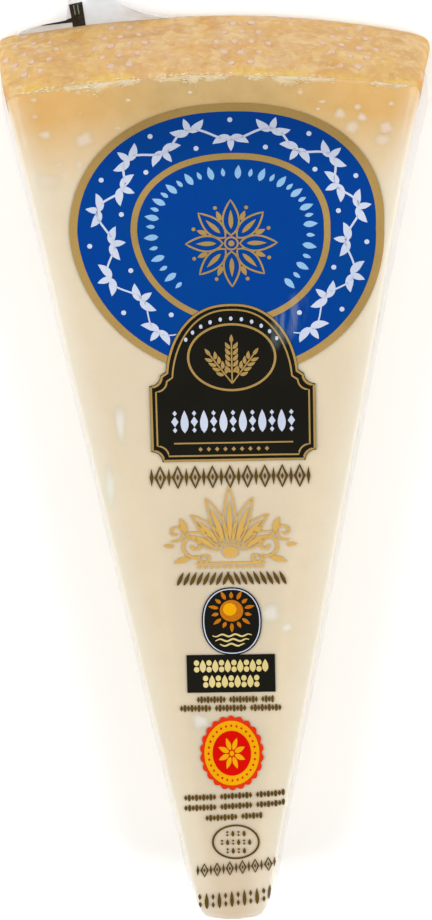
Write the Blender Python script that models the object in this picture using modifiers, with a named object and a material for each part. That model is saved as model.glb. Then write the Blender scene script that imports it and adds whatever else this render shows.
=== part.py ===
"""A wedge of hard cheese in its tight clear film, lying on its back with the printed face up."""

import math

import bmesh
import bpy
import numpy as np
from mathutils import Vector, noise
from mathutils.bvhtree import BVHTree

# The sector of the wheel, in metres
WHEEL_RADIUS = 0.2000
HALF_ANGLE = math.radians(10.6)
TIP_RADIUS = 0.0338
TIP_BULGE = 0.0016
THICKNESS = 0.0234
BACK_FLARE = 0.0015
RIND_FLARE = 0.0009
RIND_LEAN = 0.0044
RIND_CROWN = 0.0008
# The rind's right end stands more upright and its face edge reaches further out.
RIND_RIGHT_REACH = 0.0007
RIND_RIGHT_UPRIGHT = 0.0017
# Each cut side is a little hollow close to the rind.
LEFT_HOLLOW = 0.0006
RIGHT_HOLLOW = 0.0012
HOLLOW_RADIUS = 0.189
HOLLOW_SPREAD_TO_TIP = 0.018
HOLLOW_SPREAD_TO_RIND = 0.008

# How far from each edge its rounding starts
SIDE_SOFT = 0.0055
TIP_SOFT = 0.0075
RIND_SOFT = 0.0042
FACE_SOFT = 0.0046
BACK_SOFT = 0.0040

# Unevenness of the paste under the film
WAVE_HEIGHT = 0.00030
WAVE_LENGTH = 0.030
RIND_ROUGHNESS = 0.00045
RIND_GRAIN = 0.010
CHIP_DEPTH = 0.0007
CHIP_SPACING = 0.0075
FLAT_BASE_HEIGHT = 0.0040

# The cage's cells before subdivision
CELLS_ACROSS = 6
CELLS_ALONG = 9
CELLS_UP = 3
SMOOTH_LEVELS = 2

# The film's welded edge, which runs up both sides and round the tip
SEAM_HEIGHT = 0.0172
SEAM_THICKNESS = 0.0005
SEAM_LEAST_WIDTH = 0.0004
SEAM_RIND_WIDTH_LEFT = 0.0006
SEAM_RIND_WIDTH_RIGHT = 0.0014
SEAM_TIP_WIDTH = 0.0014
SEAM_WAVE = 0.00025
SEAM_WAVES = 9.7
SEAM_STEP = 0.0040
SEAM_TIP_STEPS = 10
SEAM_CORNER_STEPS = 6
SEAM_CORNER_TURN = math.radians(60)

# The film's loose end behind the rind
TAIL_LEFT = -0.0345
TAIL_RIGHT = -0.0060
TAIL_HEIGHT = 0.0034
TAIL_LONG = 0.0052
TAIL_SHORT = 0.0013
TAIL_END = 0.0004
TAIL_RISE = 0.0012
TAIL_WAVE = 0.3
TAIL_WAVES = 1.4
TAIL_THICKNESS = 0.0005
TAIL_COLUMNS = 30
TAIL_ROWS = 4

FILM_GAP = 0.0003
RAY_DEPTH = 0.020


def new_material(name, colour, roughness, alpha=1.0):
    material = bpy.data.materials.new(name)
    material.use_nodes = True
    shader = material.node_tree.nodes["Principled BSDF"]
    shader.inputs["Base Color"].default_value = (*colour, 1.0)
    shader.inputs["Roughness"].default_value = roughness
    shader.inputs["Alpha"].default_value = alpha
    return material


def new_object(name, mesh, material, collection, parent):
    made = bpy.data.objects.new(name, mesh)
    made.data.materials.append(material)
    made.parent = parent
    collection.objects.link(made)
    return made


def mesh_of(bm, name):
    bmesh.ops.recalc_face_normals(bm, faces=bm.faces)
    mesh = bpy.data.meshes.new(name)
    bm.to_mesh(mesh)
    bm.free()
    mesh.shade_smooth()
    return mesh


def along_band(share, length, cells, soft_low, soft_high):
    """Where a cage line lies along an edge: one cell of rounding at each end, even cells between."""
    marks = [0, 1 / cells, 1 - 1 / cells, 1]
    return float(np.interp(share, marks, [0, soft_low, length - soft_high, length]))


def rind_radius(up, across):
    """The rind leans out towards the back and is slightly crowned; across runs from -1, left, to 1."""
    right = max(0.0, across) ** 2
    lean = RIND_LEAN - (RIND_RIGHT_UPRIGHT + RIND_RIGHT_REACH) * right
    return WHEEL_RADIUS + RIND_RIGHT_REACH * right + lean * (1 - up) + RIND_CROWN * 4 * up * (1 - up)


def side_hollow(radius, across):
    depth = RIGHT_HOLLOW if across > 0 else LEFT_HOLLOW
    spread = HOLLOW_SPREAD_TO_RIND if radius > HOLLOW_RADIUS else HOLLOW_SPREAD_TO_TIP
    return -across * depth * math.exp(-(((radius - HOLLOW_RADIUS) / spread) ** 2))


def wedge_point(across, along, up):
    """A point of the sector from its three shares, each 0 to 1: left to right, tip to rind, back to face."""
    z = along_band(up, THICKNESS, CELLS_UP, BACK_SOFT, FACE_SOFT)
    height = z / THICKNESS
    length = rind_radius(height, 2 * across - 1) - TIP_RADIUS
    radius = TIP_RADIUS + along_band(along, length, CELLS_ALONG, TIP_SOFT, RIND_SOFT)
    half = radius * HALF_ANGLE + (BACK_FLARE + RIND_FLARE * along ** 6) * (1 - height)
    soft = SIDE_SOFT * half / (half + SIDE_SOFT)
    side = along_band(across, 2 * half, CELLS_ACROSS, soft, soft) - half
    angle = (side + side_hollow(radius, side / half)) / radius
    bulge = TIP_BULGE * (1 - along) ** 2 * (1 - (side / half) ** 2)
    return Vector((radius * math.sin(angle), radius * math.cos(angle) - bulge, z))


def cage():
    """A cube sliced into cells and bent to the sector."""
    bm = bmesh.new()
    bmesh.ops.create_cube(bm, size=1.0)
    bmesh.ops.translate(bm, verts=bm.verts, vec=(0.5, 0.5, 0.5))
    for axis, cells in enumerate((CELLS_ACROSS, CELLS_ALONG, CELLS_UP)):
        normal = [0, 0, 0]
        normal[axis] = 1
        for cut in range(1, cells):
            bmesh.ops.bisect_plane(bm, geom=bm.verts[:] + bm.edges[:] + bm.faces[:], dist=1e-5,
                                   plane_co=[step * cut / cells for step in normal], plane_no=normal)
    for vert in bm.verts:
        vert.co = wedge_point(*vert.co)
    return mesh_of(bm, "cage")


def smoothed(mesh, levels):
    """The mesh that Subdivision Surface makes of the cage."""
    holder = bpy.data.objects.new("cage", mesh)
    bpy.context.scene.collection.objects.link(holder)
    smooth = holder.modifiers.new("smooth", "SUBSURF")
    smooth.levels = levels
    smooth.render_levels = levels
    bpy.context.view_layer.update()
    result = bpy.data.meshes.new_from_object(holder.evaluated_get(bpy.context.evaluated_depsgraph_get()))
    bpy.data.objects.remove(holder, do_unlink=True)
    return result


def unevenness(point):
    """How far the paste stands in or out at a point, in metres."""
    wave = WAVE_HEIGHT * noise.noise(point / WAVE_LENGTH)
    across = math.atan2(point.x, point.y) / HALF_ANGLE
    short_of_rind = rind_radius(point.z / THICKNESS, across) - point.xy.length
    near_rind = max(0.0, 1 - short_of_rind / RIND_SOFT)
    rough = RIND_ROUGHNESS * near_rind * noise.noise(point / RIND_GRAIN)
    chip_place = noise.noise(Vector((point.x / CHIP_SPACING, 0.5, 0.5)))
    on_edge = near_rind * max(0.0, 1 - abs(THICKNESS - FACE_SOFT / 4 - point.z) / FACE_SOFT)
    return wave + rough - CHIP_DEPTH * on_edge * max(0.0, chip_place)


def make_wedge(material, collection, parent):
    mesh = smoothed(cage(), SMOOTH_LEVELS)
    for vert in mesh.vertices:
        # The back stays flat, because the wedge rests on it.
        hold = min(1.0, vert.co.z / FLAT_BASE_HEIGHT)
        vert.co += vert.normal * (unevenness(vert.co.copy()) * hold * hold)
    mesh.shade_smooth()
    return new_object("cheese_wedge", mesh, material, collection, parent)


def surface_of(made):
    bm = bmesh.new()
    bm.from_mesh(made.data)
    tree = BVHTree.FromBMesh(bm)
    bm.free()
    return tree


def heading(angle):
    return Vector((math.cos(angle), math.sin(angle), 0))


def seam_side(side, rind_width):
    """The seam's rays along one side, from the tip to the rind and round the rind's corner.

    Each is its start, its direction and the seam's width there.
    """
    outward = -HALF_ANGLE if side > 0 else math.pi + HALF_ANGLE
    first = TIP_RADIUS + TIP_SOFT
    last = WHEEL_RADIUS - RIND_SOFT
    count = round((last - first) / SEAM_STEP)
    rays = []
    for i in range(count + 1):
        share = i / count
        wide = SEAM_LEAST_WIDTH + (rind_width - SEAM_LEAST_WIDTH) * share ** 5
        start = Vector((0, (first + (last - first) * share) / math.cos(HALF_ANGLE), SEAM_HEIGHT))
        rays.append((start, heading(outward), wide))
    corner = last * heading(math.pi / 2 - side * HALF_ANGLE) - SIDE_SOFT * heading(outward)
    corner.z = SEAM_HEIGHT
    for i in range(1, SEAM_CORNER_STEPS + 1):
        share = i / SEAM_CORNER_STEPS
        wide = rind_width + (SEAM_LEAST_WIDTH - rind_width) * share ** 2
        rays.append((corner, heading(outward + side * SEAM_CORNER_TURN * share), wide))
    return rays


def seam_tip():
    """The seam's rays round the tip, from the left side to the right."""
    start = Vector((0, TIP_RADIUS + TIP_SOFT, SEAM_HEIGHT))
    rays = []
    for i in range(1, SEAM_TIP_STEPS):
        share = i / SEAM_TIP_STEPS
        angle = math.pi + HALF_ANGLE + (math.pi - 2 * HALF_ANGLE) * share
        wide = SEAM_LEAST_WIDTH + (SEAM_TIP_WIDTH - SEAM_LEAST_WIDTH) * math.sin(math.pi * share)
        rays.append((start, heading(angle), wide))
    return rays


def strip(columns, rows, place):
    """A grid whose points are placed by their two shares."""
    bm = bmesh.new()
    bmesh.ops.create_grid(bm, x_segments=columns, y_segments=rows, size=0.5)
    for vert in bm.verts:
        vert.co = place(vert.co.x + 0.5, vert.co.y + 0.5)
    return bm


def thicken(made, thickness):
    solidify = made.modifiers.new("film", "SOLIDIFY")
    solidify.thickness = thickness
    solidify.offset = 0
    return made


def make_seam(surface, material, collection, parent):
    left = seam_side(-1, SEAM_RIND_WIDTH_LEFT)
    rays = left[::-1] + seam_tip() + seam_side(1, SEAM_RIND_WIDTH_RIGHT)
    last = len(rays) - 1

    def place(along, out):
        start, outward, wide = rays[round(along * last)]
        hit = surface.ray_cast(start, outward)[0]
        swing = SEAM_WAVE * wide / SEAM_RIND_WIDTH_RIGHT
        wave = swing * out * math.sin(2 * math.pi * SEAM_WAVES * along)
        return hit + outward * (FILM_GAP + wide * out) + Vector((0, 0, wave))

    return thicken(new_object("film_seam", mesh_of(strip(last, 1, place), "film_seam"),
                              material, collection, parent), SEAM_THICKNESS)


def tail_length(share):
    """The loose end is low at its left, tall beside its printed mark, and runs out to the right."""
    places = [0, 0.12, 0.27, 0.31, 0.55, 0.85, 1]
    lengths = [TAIL_END, TAIL_SHORT, TAIL_SHORT, TAIL_LONG, TAIL_LONG, TAIL_SHORT, TAIL_END]
    return float(np.interp(share, places, lengths))


def make_tail(surface, material, collection, parent):
    def place(along, out):
        x = TAIL_LEFT + (TAIL_RIGHT - TAIL_LEFT) * along
        outward = Vector((x / WHEEL_RADIUS, math.sqrt(1 - (x / WHEEL_RADIUS) ** 2), 0))
        start = outward * (WHEEL_RADIUS - RAY_DEPTH)
        base = surface.ray_cast(start + Vector((0, 0, TAIL_HEIGHT)), outward)[0]
        reach = tail_length(along) * out
        curl = TAIL_RISE * out ** 2
        curl += TAIL_WAVE * reach * out * math.sin(2 * math.pi * TAIL_WAVES * along)
        return base + outward * (FILM_GAP + TAIL_THICKNESS + reach) + Vector((0, 0, curl))

    return thicken(new_object("film_tail", mesh_of(strip(TAIL_COLUMNS, TAIL_ROWS, place), "film_tail"),
                              material, collection, parent), TAIL_THICKNESS)


def stand_on_origin(parent, made):
    """Moves the parent so that the middle of the whole box's underside is the origin."""
    bpy.context.view_layer.update()
    graph = bpy.context.evaluated_depsgraph_get()
    points = []
    for piece in made:
        evaluated = piece.evaluated_get(graph)
        points += [evaluated.matrix_world @ vert.co for vert in evaluated.to_mesh().vertices]
        evaluated.to_mesh_clear()
    low = np.min(points, axis=0)
    high = np.max(points, axis=0)
    parent.location = (-(low[0] + high[0]) / 2, -(low[1] + high[1]) / 2, -low[2])


def main():
    for old in list(bpy.data.objects):
        bpy.data.objects.remove(old, do_unlink=True)
    collection = bpy.data.collections.new("parmesan_chunk")
    bpy.context.scene.collection.children.link(collection)
    parent = bpy.data.objects.new("parmesan_chunk", None)
    collection.objects.link(parent)

    cheese = new_material("cheese", (0.79, 0.66, 0.46), 0.35)
    film = new_material("clear_film", (0.86, 0.85, 0.84), 0.15, alpha=0.6)
    wedge = make_wedge(cheese, collection, parent)
    surface = surface_of(wedge)
    seam = make_seam(surface, film, collection, parent)
    tail = make_tail(surface, film, collection, parent)
    stand_on_origin(parent, [wedge, seam, tail])


main()
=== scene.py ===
import math
import random

import bmesh
import bpy
import numpy as np
from mathutils import Matrix, Vector, noise
from mathutils.bvhtree import BVHTree
from mathutils.geometry import tessellate_polygon


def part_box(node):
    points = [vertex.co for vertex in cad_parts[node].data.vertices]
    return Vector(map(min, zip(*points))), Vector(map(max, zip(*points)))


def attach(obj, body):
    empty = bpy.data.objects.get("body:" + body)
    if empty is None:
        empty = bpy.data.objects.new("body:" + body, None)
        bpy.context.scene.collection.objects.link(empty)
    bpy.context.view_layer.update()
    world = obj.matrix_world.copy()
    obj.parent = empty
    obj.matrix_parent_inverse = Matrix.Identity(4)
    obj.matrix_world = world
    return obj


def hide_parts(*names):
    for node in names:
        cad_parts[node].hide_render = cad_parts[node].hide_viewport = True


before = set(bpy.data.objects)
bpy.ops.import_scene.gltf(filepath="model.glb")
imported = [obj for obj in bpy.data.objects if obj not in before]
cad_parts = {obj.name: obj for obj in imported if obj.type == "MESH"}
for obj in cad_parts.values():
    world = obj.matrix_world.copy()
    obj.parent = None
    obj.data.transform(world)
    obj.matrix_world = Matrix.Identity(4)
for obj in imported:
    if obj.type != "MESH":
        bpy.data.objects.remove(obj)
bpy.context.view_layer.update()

mm = 0.001
fullTurn = 2 * math.pi
body = "root"

# The sector of the wheel: the same form as the model, in metres, finer
wedge = {
    "wheelRadius": 0.2000,
    "halfAngle": math.radians(10.6),
    "tipRadius": 0.0338,
    "tipBulge": 0.0016,
    "thickness": 0.0234,
    "backFlare": 0.0015,
    "rindFlare": 0.0009,
    "rindLean": 0.0044,
    "rindCrown": 0.0008,
    "rightReach": 0.0007,       # the rind's right end reaches further out at the face
    "rightUpright": 0.0017,     # and stands more upright
    "leftHollow": 0.0006,
    "rightHollow": 0.0012,
    "hollowRadius": 0.189,
    "hollowToTip": 0.018,
    "hollowToRind": 0.008,
    "sideSoft": 0.0055,         # where each edge's rounding starts
    "tipSoft": 0.0075,
    "rindSoft": 0.0042,
    "faceSoft": 0.0046,
    "backSoft": 0.0040,
    "waveHeight": 0.00030,
    "waveLength": 0.030,
    "rindRoughness": 0.00045,
    "rindGrain": 0.010,
    "chipDepth": 0.0007,
    "chipSpacing": 0.0075,
    "flatBase": 0.0040,
    "dentHeight": 0.00006,      # small dents under the film
    "dentLength": 0.0045,
    "cells": (6, 9, 3),
    "levels": 4,
    "rayDepth": 0.020,          # how far inside the rind a ray to it starts
    "printBend": 2.6,           # where the print bends round the side edges, in mm
}


def clamped(value):
    return min(1.0, max(0.0, value))


def alongBand(share, length, cells, softLow, softHigh):
    marks = [0, 1 / cells, 1 - 1 / cells, 1]
    return float(np.interp(share, marks, [0, softLow, length - softHigh, length]))


def rindRadius(up, across):      # across runs from -1, left, to 1
    right = max(0.0, across) ** 2
    lean = wedge["rindLean"] - (wedge["rightUpright"] + wedge["rightReach"]) * right
    crown = wedge["rindCrown"] * 4 * up * (1 - up)
    return wedge["wheelRadius"] + wedge["rightReach"] * right + lean * (1 - up) + crown


def sideHollow(radius, across):
    depth = wedge["rightHollow"] if across > 0 else wedge["leftHollow"]
    spread = wedge["hollowToRind"] if radius > wedge["hollowRadius"] else wedge["hollowToTip"]
    return -across * depth * math.exp(-(((radius - wedge["hollowRadius"]) / spread) ** 2))


def wedgePoint(across, along, up):      # shares 0 to 1: left to right, tip to rind, back to face
    cellsAcross, cellsAlong, cellsUp = wedge["cells"]
    z = alongBand(up, wedge["thickness"], cellsUp, wedge["backSoft"], wedge["faceSoft"])
    height = z / wedge["thickness"]
    length = rindRadius(height, 2 * across - 1) - wedge["tipRadius"]
    radius = wedge["tipRadius"] + alongBand(along, length, cellsAlong, wedge["tipSoft"], wedge["rindSoft"])
    flare = (wedge["backFlare"] + wedge["rindFlare"] * along ** 6) * (1 - height)
    half = radius * wedge["halfAngle"] + flare
    soft = wedge["sideSoft"] * half / (half + wedge["sideSoft"])
    side = alongBand(across, 2 * half, cellsAcross, soft, soft) - half
    angle = (side + sideHollow(radius, side / half)) / radius
    bulge = wedge["tipBulge"] * (1 - along) ** 2 * (1 - (side / half) ** 2)
    return Vector((radius * math.sin(angle), radius * math.cos(angle) - bulge, z))


def acrossShare(point):      # -1 at the left side, 1 at the right
    return math.atan2(point.x, point.y) / wedge["halfAngle"]


def shortOfRind(point):      # how far a point is inside the rind's outer surface
    return rindRadius(point.z / wedge["thickness"], acrossShare(point)) - point.xy.length


def pastBoundary(point):      # how far a point of the face is from the rind's lower edge
    return shortOfRind(point) - (wedge["thickness"] - point.z)


def unevenness(point):
    wave = wedge["waveHeight"] * noise.noise(point / wedge["waveLength"])
    nearRind = max(0.0, 1 - shortOfRind(point) / wedge["rindSoft"])
    rough = wedge["rindRoughness"] * nearRind * noise.noise(point / wedge["rindGrain"])
    chipPlace = noise.noise(Vector((point.x / wedge["chipSpacing"], 0.5, 0.5)))
    edgeHeight = wedge["thickness"] - wedge["faceSoft"] / 4
    onEdge = nearRind * max(0.0, 1 - abs(edgeHeight - point.z) / wedge["faceSoft"])
    dents = wedge["dentHeight"] * noise.noise(point / wedge["dentLength"])
    return wave + rough + dents - wedge["chipDepth"] * onEdge * max(0.0, chipPlace)


# Mesh helpers

def linked(name, data):      # a new object in the scene
    made = bpy.data.objects.new(name, data)
    bpy.context.scene.collection.objects.link(made)
    return made


def meshFrom(bm, name):
    mesh = bpy.data.meshes.new(name)
    bm.to_mesh(mesh)
    bm.free()
    mesh.shade_smooth()
    return mesh


def evaluatedMesh(mesh, kind, **settings):      # the mesh with one modifier applied
    holder = linked("holder", mesh)
    made = holder.modifiers.new(kind.lower(), kind)
    for name, value in settings.items():
        setattr(made, name, value)
    bpy.context.view_layer.update()
    result = bpy.data.meshes.new_from_object(holder.evaluated_get(bpy.context.evaluated_depsgraph_get()))
    bpy.data.objects.remove(holder, do_unlink=True)
    return result


def subdivided(mesh, levels, kind="CATMULL_CLARK"):
    return evaluatedMesh(mesh, "SUBSURF", levels=levels, render_levels=levels, subdivision_type=kind)


def closedSheet(mesh, thickness):      # a thin closed piece, thickened inwards
    sheet = evaluatedMesh(mesh, "SOLIDIFY", thickness=thickness, offset=-1)
    sheet.set_sharp_from_angle(angle=math.radians(50))
    return sheet


def sliced(bm, axis, place, dist):      # new edges all round where the axis reads place
    normal = Vector((0, 0, 0))
    normal[axis] = 1
    bmesh.ops.bisect_plane(bm, geom=bm.verts[:] + bm.edges[:] + bm.faces[:], dist=dist,
                           plane_co=normal * place, plane_no=normal)


def addWalls(bm, rings):      # faces from each ring of vertices to the next
    for outer, inner in zip(rings, rings[1:]):
        for step in range(len(outer)):
            bm.faces.new((outer[step - 1], outer[step], inner[step], inner[step - 1]))


def addCaps(bm, first, last):
    bm.faces.new(last)
    bm.faces.new(first[::-1])


def gridMesh(columns, rows, place, name):      # place turns two shares, 0 to 1, into a point
    bm = bmesh.new()
    bmesh.ops.create_grid(bm, x_segments=columns, y_segments=rows, size=0.5)
    for vert in bm.verts:
        vert.co = place(vert.co.x + 0.5, vert.co.y + 0.5)
    bmesh.ops.recalc_face_normals(bm, faces=bm.faces)
    return meshFrom(bm, name)


def moved(mesh, shift):      # shift gives each vertex's new place from its old one and its normal
    normals = [vert.normal.copy() for vert in mesh.vertices]      # read first: each change makes them stale
    for vert, normal in zip(mesh.vertices, normals):
        vert.co = shift(vert.co.copy(), normal)
    return mesh


def wedgeMesh():
    bm = bmesh.new()
    bmesh.ops.create_cube(bm, size=1.0)
    bmesh.ops.translate(bm, verts=bm.verts, vec=(0.5, 0.5, 0.5))
    for axis, cells in enumerate(wedge["cells"]):
        for cut in range(1, cells):
            sliced(bm, axis, cut / cells, 1e-5)
    for vert in bm.verts:
        vert.co = wedgePoint(*vert.co)
    bmesh.ops.recalc_face_normals(bm, faces=bm.faces)

    def uneven(point, normal):
        return point + normal * (unevenness(point) * min(1.0, point.z / wedge["flatBase"]) ** 2)

    mesh = moved(subdivided(meshFrom(bm, "cage"), wedge["levels"]), uneven)
    mesh.shade_smooth()
    return mesh


# The wheel's centre in the frame, so that the finer form lies on the model's own
pasteMesh = wedgeMesh()
pasteTree = BVHTree.FromPolygons([vert.co for vert in pasteMesh.vertices],
                                 [face.vertices[:] for face in pasteMesh.polygons])
pasteHigh = Vector(np.max([vert.co for vert in pasteMesh.vertices], axis=0))
pasteLow = Vector(np.min([vert.co for vert in pasteMesh.vertices], axis=0))
nodeLow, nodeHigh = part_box("cheese_wedge")
wheelCentre = (nodeLow + nodeHigh - pasteLow - pasteHigh) / 2
wheelCentre.z = nodeLow.z
print("wedge form ready, wheel centre at", [round(value / mm, 2) for value in wheelCentre])


def addPiece(name, mesh, material, replaced=None):
    piece = linked(name, mesh)
    mesh.transform(Matrix.Translation(wheelCentre))
    mesh.materials.clear()
    mesh.materials.append(material)
    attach(piece, body)
    if replaced:
        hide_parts(replaced)
    print("made", name, len(mesh.polygons), "faces")


# Shader helpers

def tint(red, green, blue):      # a screen colour, 0 to 255, as the shader's own numbers
    parts = [value / 255 for value in (red, green, blue)]
    return tuple(p / 12.92 if p <= 0.04045 else ((p + 0.055) / 1.055) ** 2.4 for p in parts) + (1.0,)


def addNode(tree, kind, inputs=(), **settings):      # inputs are plain values or sockets to link
    made = tree.nodes.new(kind)
    for name, value in settings.items():
        setattr(made, name, value)
    for key, source in inputs.items() if isinstance(inputs, dict) else enumerate(inputs):
        if isinstance(source, bpy.types.NodeSocket):
            tree.links.new(source, made.inputs[key])
        elif source is not None:
            made.inputs[key].default_value = source
    return made


def calc(tree, operation, first, second=None, clamp=False):
    return addNode(tree, "ShaderNodeMath", [first, second], operation=operation, use_clamp=clamp).outputs[0]


def times(tree, first, second):
    return calc(tree, "MULTIPLY", first, second)


def mixed(tree, share, low, high):      # from one colour to another
    return addNode(tree, "ShaderNodeMix", {0: share, 6: low, 7: high}, data_type="RGBA").outputs[2]


def layered(tree, colour, *layers):      # each layer: its mask, how strong it is, and its colour
    for mask, strength, over in layers:
        colour = mixed(tree, times(tree, mask, strength), colour, over)
    return colour


def ramped(tree, value, low, high):      # 0 at low, 1 at high, smooth between
    return addNode(tree, "ShaderNodeMapRange", {"Value": value, "From Min": low, "From Max": high},
                   interpolation_type="SMOOTHSTEP").outputs[0]


def noisy(tree, place, scale, **settings):
    return addNode(tree, "ShaderNodeTexNoise", {"Vector": place, "Scale": scale, **settings}).outputs[0]


def stretched(tree, place, factors):
    return addNode(tree, "ShaderNodeVectorMath", [place, factors], operation="MULTIPLY").outputs[0]


def partsOf(tree, place):
    return addNode(tree, "ShaderNodeSeparateXYZ", [place]).outputs


def newGroup(name, values, output):      # takes a position and some values, and gives one number
    tree = bpy.data.node_groups.new(name, "ShaderNodeTree")
    tree.interface.new_socket(name="Position", in_out="INPUT", socket_type="NodeSocketVector")
    for label, value in values.items():
        made = tree.interface.new_socket(name=label, in_out="INPUT", socket_type="NodeSocketFloat")
        made.default_value = value
    tree.interface.new_socket(name=output, in_out="OUTPUT", socket_type="NodeSocketFloat")
    return tree, tree.nodes.new("NodeGroupInput").outputs, tree.nodes.new("NodeGroupOutput").inputs[0]


def mottleGroup():      # soft uneven patches of a given size, 0 to 1
    tree, given, result = newGroup("mottle", {"Size": 0.01, "Detail": 3.0, "Low": 0.35, "High": 0.65}, "Mask")
    scale = calc(tree, "DIVIDE", 1.0, given["Size"])
    grain = noisy(tree, given["Position"], scale, Detail=given["Detail"], Roughness=0.55)
    tree.links.new(ramped(tree, grain, given["Low"], given["High"]), result)
    return tree


def filmGroup():      # the drawn film's fine pull marks, as a height for a Bump node
    tree, given, result = newGroup("filmPull", {"Pull": 0.006, "Ripple": 0.0016}, "Height")
    wide, fine = (calc(tree, "DIVIDE", 1.0, given[label]) for label in ("Pull", "Ripple"))
    soft = noisy(tree, given["Position"], wide, Detail=1.0)
    crisp = noisy(tree, given["Position"], fine, Detail=2.0, Distortion=1.2)
    tree.links.new(calc(tree, "ADD", soft, times(tree, crisp, 0.18)), result)
    return tree


mottle = mottleGroup()
filmPull = filmGroup()


def useGroup(tree, group, place, **values):
    made = addNode(tree, "ShaderNodeGroup", node_tree=group)
    tree.links.new(place, made.inputs["Position"])
    for label, value in values.items():
        made.inputs[label].default_value = value
    return made.outputs[0]


def mottled(tree, place, size, detail, low, high):      # the size in metres
    return useGroup(tree, mottle, place, Size=size, Detail=detail, Low=low, High=high)


def startMaterial(name, **shader):      # plain values go on the Principled's own sockets
    material = bpy.data.materials.new(name)
    material.use_nodes = True
    tree = material.node_tree
    for label, value in shader.items():
        tree.nodes["Principled BSDF"].inputs[label.replace("_", " ")].default_value = value
    return material, tree, tree.nodes.new("ShaderNodeTexCoord").outputs["Object"]


def painted(material, colour):
    tree = material.node_tree
    tree.links.new(colour, tree.nodes["Principled BSDF"].inputs["Base Color"])
    return material


def bumped(material, place, pull, ripple, strength, distance, relief=None):      # by film and relief
    tree = material.node_tree
    height = useGroup(tree, filmPull, place, Pull=pull, Ripple=ripple)
    if relief:
        height = calc(tree, "ADD", height, relief)
    bump = addNode(tree, "ShaderNodeBump", {"Height": height, "Strength": strength, "Distance": distance})
    tree.links.new(bump.outputs[0], tree.nodes["Principled BSDF"].inputs["Normal"])
    return material


def readMask(tree, name):
    return addNode(tree, "ShaderNodeAttribute", attribute_name=name).outputs["Fac"]


def writeMask(mesh, name, values):
    mesh.attributes.new(name, "FLOAT", "POINT").data.foreach_set("value", values)


# Cheese paste

paste = {
    "middle": tint(205, 189, 160),
    "pale": tint(211, 196, 166),
    "deep": tint(190, 168, 136),
    "core": tint(192, 176, 150),      # along the middle of the lower face, and lighter round the round field
    "tip": tint(200, 176, 148),
    # painted reflection along the rounded edges, partly the film's own haze
    "edge": tint(211, 204, 186),
    "tanMiddle": tint(172, 140, 77),
    "tanSide": tint(197, 151, 73),
    "tanPale": tint(203, 170, 112),
    "crystal": tint(212, 185, 160),
    "glint": tint(236, 232, 226),
    "crumb": tint(197, 177, 138),
    "tanHold": 0.0060,          # the darker paste under the rind: full to here, gone at its reach
    "tanReach": 0.0220,
    # how far the painted pale sheen reaches in from the side edges
    "edgeReach": 0.0050,
    "sideStart": (0.0045, 0.0090),      # below the face: the painted pale sheen of the edge gives way to the side's paste
    "edgeStart": 0.0040,        # the painted pale sheen of the edge begins this far below the rind
    "crystalReach": 0.034,
    "crystalSpacing": 0.0052,
    "coreReach": (0.106, 0.142),
    "upperCore": 0.42,
    "tipReach": 0.052,
    "crumbGrain": (0.0013, 0.00065),    # along the rind and out over the face
}

# Where the rind's edge is crumbled: from x to x, and how far onto the face, in mm
crumbRuns = [(-33.6, -26.3, 0.7), (-26.5, -20.5, 1.3), (-22.2, -18.0, 2.1), (-18.5, -12.5, 1.5),
             (-10.8, -4.0, 1.2), (-5.2, -1.8, 2.0), (-2.2, 3.2, 1.4), (5.5, 9.5, 1.5), (10.2, 15.4, 2.0),
             (14.6, 21.6, 1.1), (27.4, 34.4, 1.0)]


def crumbReach(x):      # in metres, at x in metres
    reach = 0.0
    for left, right, far in crumbRuns:
        side = min(x / mm - left, right - x / mm) / 1.2
        reach = max(reach, far * mm * clamped(side) ** 0.5)
    return reach


def pasteShares(point):      # how much of each finish the paste has at a point
    away, past, far = max(0.0, shortOfRind(point)), pastBoundary(point), crumbReach(point.x)
    across, radius = acrossShare(point), point.xy.length
    below = wedge["thickness"] - point.z
    tanReach = paste["tanReach"] * (1 + 0.14 * noise.noise(point / 0.014) - 0.15 * abs(across) ** 3)
    nearRind = max(0.0, 1 - away / paste["crystalReach"]) ** 0.5 * (1.0 if across > 0.3 else 0.7)
    low, high = paste["coreReach"]
    lower = clamped((high - radius) / (high - low))
    wide = 0.62 + 0.30 * (1 - lower)
    low, high = paste["sideStart"]
    onSide = clamped((below - low) / (high - low))
    fromEdge = radius * wedge["halfAngle"] * (1 - abs(across)) - below * 0.6
    nearEdge = clamped(1 - fromEdge / paste["edgeReach"]) ** 1.15
    fromTip = (radius - wedge["tipRadius"]) / (paste["tipReach"] - wedge["tipRadius"])
    return {
        "rindShade": clamped((tanReach - away) / (tanReach - paste["tanHold"])) ** 1.25,
        "crystalShare": max(nearRind, 0.6 * onSide),
        "edgeSheenShare": nearEdge * clamped(past / paste["edgeStart"]) * (1 - onSide),
        "crumbShare": max(0.0, 1 - abs(past - 0.4 * far) / far) if far > 0 else 0.0,
        "coreShare": max(lower, paste["upperCore"]) * max(0.0, 1 - (across / wide) ** 4),
        "tipShare": clamped(1 - fromTip) ** 1.4,
    }


def withPasteMasks(mesh):
    shares = [pasteShares(vert.co) for vert in mesh.vertices]
    for name in shares[0]:
        writeMask(mesh, name, [share[name] for share in shares])
    return mesh


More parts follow.
